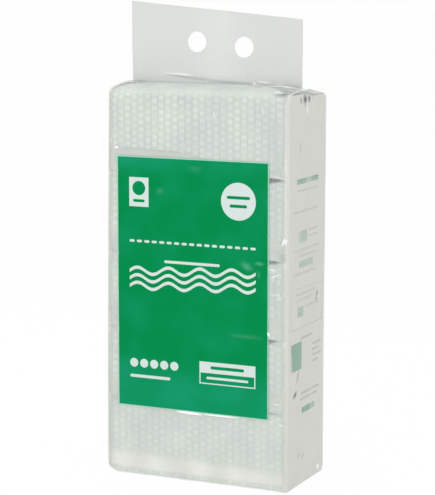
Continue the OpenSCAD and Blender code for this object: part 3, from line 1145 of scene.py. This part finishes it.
def punch(bm):
    mesh = bpy.data.meshes.new("tab_blank")
    bm.to_mesh(mesh)
    bm.free()
    blank = bpy.data.objects.new("tab_blank", mesh)
    bpy.context.scene.collection.objects.link(blank)
    die = bmesh.new()
    for hole in holes:
        place = Matrix.Translation(hole) @ Matrix.Rotation(math.pi / 2, 4, "X")
        bmesh.ops.create_cone(
            die, cap_ends=True, segments=48, radius1=hole_r, radius2=hole_r, depth=20, matrix=place
        )
    die_mesh = bpy.data.meshes.new("punch")
    die.to_mesh(die_mesh)
    die.free()
    tool = bpy.data.objects.new("punch", die_mesh)
    bpy.context.scene.collection.objects.link(tool)
    cut = blank.modifiers.new("holes", "BOOLEAN")
    cut.operation = "DIFFERENCE"
    cut.object = tool
    bpy.context.view_layer.update()
    punched = bmesh.new()
    punched.from_object(blank, bpy.context.evaluated_depsgraph_get())
    bpy.data.objects.remove(blank)
    bpy.data.objects.remove(tool)
    return punched


# %% [markdown]
# The punched tab joins the bag in one mesh, and gets its own haze: the sealed film is milkier, and its
# cut edges catch the light.

# %% The whole bag
def add_tab(bm):
    tab = punch(tab_skin())
    haze, crease_and_highlight, fold_painted_shade = new_layers(tab, "haze", "crease_and_highlight", "fold_painted_shade")
    for v in tab.verts:
        x, y, z = v.co
        depth, white, dark = creased(tab_creases, x, z)
        rim = z > ridge_z + rim_from and any(abs(e.calc_face_angle(0)) > rim_angle for e in v.link_edges)
        at_foot = 1 - smooth(z, ridge_z, ridge_z + tab_foot_height)
        v[haze] = tab_haze + tab_right_haze * smooth(x, 0, tab_half_w) + tab_foot_haze * at_foot
        v[haze] += (edge_haze if rim else 0) - tab_middle_clear * bell(x, *tab_middle)
        # painted highlights and glints along the tab's creases
        v[crease_and_highlight] = tab_white * white
        # painted shade along the tab's fold lines
        v[fold_painted_shade] = tab_dark * dark
        v.co.y += wave(x, z) - depth
    mesh = bpy.data.meshes.new("tab")
    tab.to_mesh(mesh)
    tab.free()
    bm.from_mesh(mesh)
    bpy.data.meshes.remove(mesh)


skin = bag_skin()
add_tab(skin)
make_piece(skin, "film_bag_skin", clear_film, "film_bag")

# %% [markdown]
# ## The print
# The printed fields are the CAD model's own outlines. Each is copied, its triangles are merged into whole
# faces, and it is sliced into small cells, so that it can bend with the film. The film's relief function
# then moves it as it moved the film, with the label's own creases in front.


# %% Print on the film
print_cell = 2.5
weld = 0.001
border = 1
low_slack = 0.16
high_slack = 0.08
high_slack_left = 0.16
low_slack_band = (95, 135)
high_slack_band = (308, 334)
left_band = (-20, 80)
worn = 0.45
worn_foot_band = (150, 190)
worn_top_band = (300, 316)
clear_of_film = 0.25


def print_copy(node):
    bm = bmesh.new()
    bm.from_mesh(frame["nodes"][node].data)
    bmesh.ops.scale(bm, vec=(1 / MM, 1 / MM, 1 / MM), verts=bm.verts)
    bmesh.ops.remove_doubles(bm, verts=bm.verts, dist=weld)
    bmesh.ops.dissolve_limit(bm, angle_limit=math.radians(1), verts=bm.verts, edges=bm.edges)
    return bm


def slice_every(bm, axis, start, end, step):
    place = start + step
    while place < end:
        point = Vector()
        point[axis] = place
        normal = Vector()
        normal[axis] = 1
        geometry = bm.verts[:] + bm.edges[:] + bm.faces[:]
        bmesh.ops.bisect_plane(bm, geom=geometry, plane_co=point, plane_no=normal, dist=weld)
        place += step


def slackness(x, z):
    low = low_slack * (1 - smooth(z, *low_slack_band))
    high = (high_slack + high_slack_left * smooth(-x, *left_band)) * smooth(z, *high_slack_band)
    return low + high


def pale_border(x, z):
    across = min(x - label_low.x, label_high.x - x)
    up = min(z - label_low.z, label_high.z - z)
    return 1.0 if min(across, up) < border + tiny else 0.0


def front_print(node, name, material, has_border):
    bm = print_copy(node)
    slice_every(bm, 0, label_low.x, label_high.x, print_cell)
    slice_every(bm, 2, label_low.z, label_high.z, print_cell)
    pale, slack = new_layers(bm, "pale", "slack")
    for v in bm.verts:
        # The creases' white is a painted highlight along the label's folds; the border is the print's own.
        depth, white = creased(label_creases, v.co.x, v.co.z)[:2]
        v[slack] = slackness(v.co.x, v.co.z)
        v[pale] = max(white, pale_border(v.co.x, v.co.z) if has_border else 0)
        v.co.y -= depth + front_relief(v.co.x, v.co.z)
    make_piece(bm, name, material, node)


def side_print(node, name, material):
    bm = print_copy(node)
    slice_every(bm, 1, side_low.y, side_high.y, 2 * print_cell)
    slice_every(bm, 2, side_low.z, side_high.z, 2 * print_cell)
    pale = new_layers(bm, "pale")[0]
    for v in bm.verts:
        v[pale] = worn * smooth(v.co.z, *worn_foot_band) * (1 - smooth(v.co.z, *worn_top_band))
        depth = creased(side_creases, v.co.y, v.co.z)[0]
        v.co.x += depth + side_relief(v.co.y, v.co.z) + lean(half_w, v.co.z) + clear_of_film
    make_piece(bm, name, material, node)


front_print("front_print_green", "label_green", solid_green, False)
front_print("front_print_white", "label_white", solid_white, True)
side_print("side_print_green", "side_marks_green", thin_green)
side_print("side_print_grey", "side_marks_grey", thin_grey)

# %% [markdown]
# ## Floor, light and camera
# The pack stands on a plain white floor. To the camera, and in reflections, the floor and the world are
# plain white, but most of the floor's own shading is kept out of the picture, so that only a soft contact
# shadow stays.


# %% Floor
def white_floor():
    material, tree, surface = new_material("white_floor")
    surface.inputs["Base Color"].default_value = linear("#F4F4F4")
    surface.inputs["Roughness"].default_value = 0.9
    rays = add(tree, "ShaderNodeLightPath").outputs
    seen = rays["Is Camera Ray"]
    for kind in ("Is Glossy Ray", "Is Transmission Ray"):
        seen = add(tree, "ShaderNodeMath", {}, {0: seen, 1: rays[kind]}, operation="MAXIMUM").outputs[0]
    share = add(tree, "ShaderNodeMapRange", {"To Min": 0.8, "To Max": 0.965}, {"Value": seen})
    glow = add(tree, "ShaderNodeEmission", {"Color": (1, 1, 1, 1), "Strength": 1.0})
    mixed = add(
        tree,
        "ShaderNodeMixShader",
        {},
        {0: share.outputs[0], 1: surface.outputs[0], 2: glow.outputs[0]},
    )
    tree.links.new(mixed.outputs[0], tree.nodes["Material Output"].inputs["Surface"])
    return material


floor_bm = bmesh.new()
bmesh.ops.create_grid(floor_bm, x_segments=1, y_segments=1, size=15)
floor_mesh = bpy.data.meshes.new("floor")
floor_bm.to_mesh(floor_mesh)
floor_bm.free()
floor_mesh.materials.append(white_floor())
floor = bpy.data.objects.new("floor", floor_mesh)
bpy.context.scene.collection.objects.link(floor)


# %% World
def white_world(level):
    world = bpy.data.worlds.new("white_studio")
    bpy.context.scene.world = world
    world.use_nodes = True
    tree = world.node_tree
    tree.nodes["Background"].inputs["Color"].default_value = (1, 1, 1, 1)
    tree.nodes["Background"].inputs["Strength"].default_value = level
    rays = add(tree, "ShaderNodeLightPath").outputs
    white = add(tree, "ShaderNodeBackground", {"Color": (1, 1, 1, 1), "Strength": 1.0})
    either = {0: rays["Is Camera Ray"], 1: rays["Is Glossy Ray"]}
    seen = add(tree, "ShaderNodeMath", {}, either, operation="MAXIMUM")
    mixed = add(
        tree,
        "ShaderNodeMixShader",
        {},
        {0: seen.outputs[0], 1: tree.nodes["Background"].outputs[0], 2: white.outputs[0]},
    )
    tree.links.new(mixed.outputs[0], tree.nodes["World Output"].inputs["Surface"])


room_light = 0.72
white_world(room_light)
lamps_aim = Vector((0, 0, 0.22))


def area_lamp(name, place, size, watts):
    lamp = bpy.data.lights.new(name, "AREA")
    lamp.shape = "DISK"
    lamp.size = size
    lamp.energy = watts
    holder = bpy.data.objects.new(name, lamp)
    holder.location = place
    aim = lamps_aim - Vector(place)
    holder.rotation_euler = aim.to_track_quat("-Z", "Y").to_euler()
    bpy.context.scene.collection.objects.link(holder)


area_lamp("key_softbox", (-0.9, -1.3, 1.5), 0.7, 4.0)
area_lamp("side_softbox", (1.6, -0.5, 1.0), 0.8, 5.2)
area_lamp("low_softbox", (0.1, -1.4, 0.1), 0.8, 7.2)
area_lamp("left_softbox", (-1.6, -0.1, 0.7), 0.8, 5)
area_lamp("top_softbox", (0, 0.1, 1.9), 0.8, 8.5)

# %% [markdown]
# The camera stands where the photographer stood: 1.95 m away, 25 degrees round to the right, and a little
# above the tab. A long lens and a small downward shift give the photograph's framing.

# %% Camera
eye = Vector((0.8188, -1.7654, 0.5396))
yaw = math.radians(24.84)
pitch = math.radians(7.45)
picture_h = 495
focal_px = 1907
axis_row = 200.5

camera = bpy.data.cameras.new("camera")
camera.sensor_width = 36
camera.lens = focal_px / picture_h * camera.sensor_width
camera.shift_y = (axis_row - picture_h / 2) / picture_h
camera.clip_end = 60
camera_holder = bpy.data.objects.new("camera", camera)
camera_holder.location = eye
camera_holder.rotation_euler = (math.pi / 2 - pitch, 0, yaw)
bpy.context.scene.collection.objects.link(camera_holder)
bpy.context.scene.camera = camera_holder
bpy.context.scene.view_settings.view_transform = "Standard"
print(f"lens {camera.lens:.1f} mm, shift {camera.shift_y:.3f}")
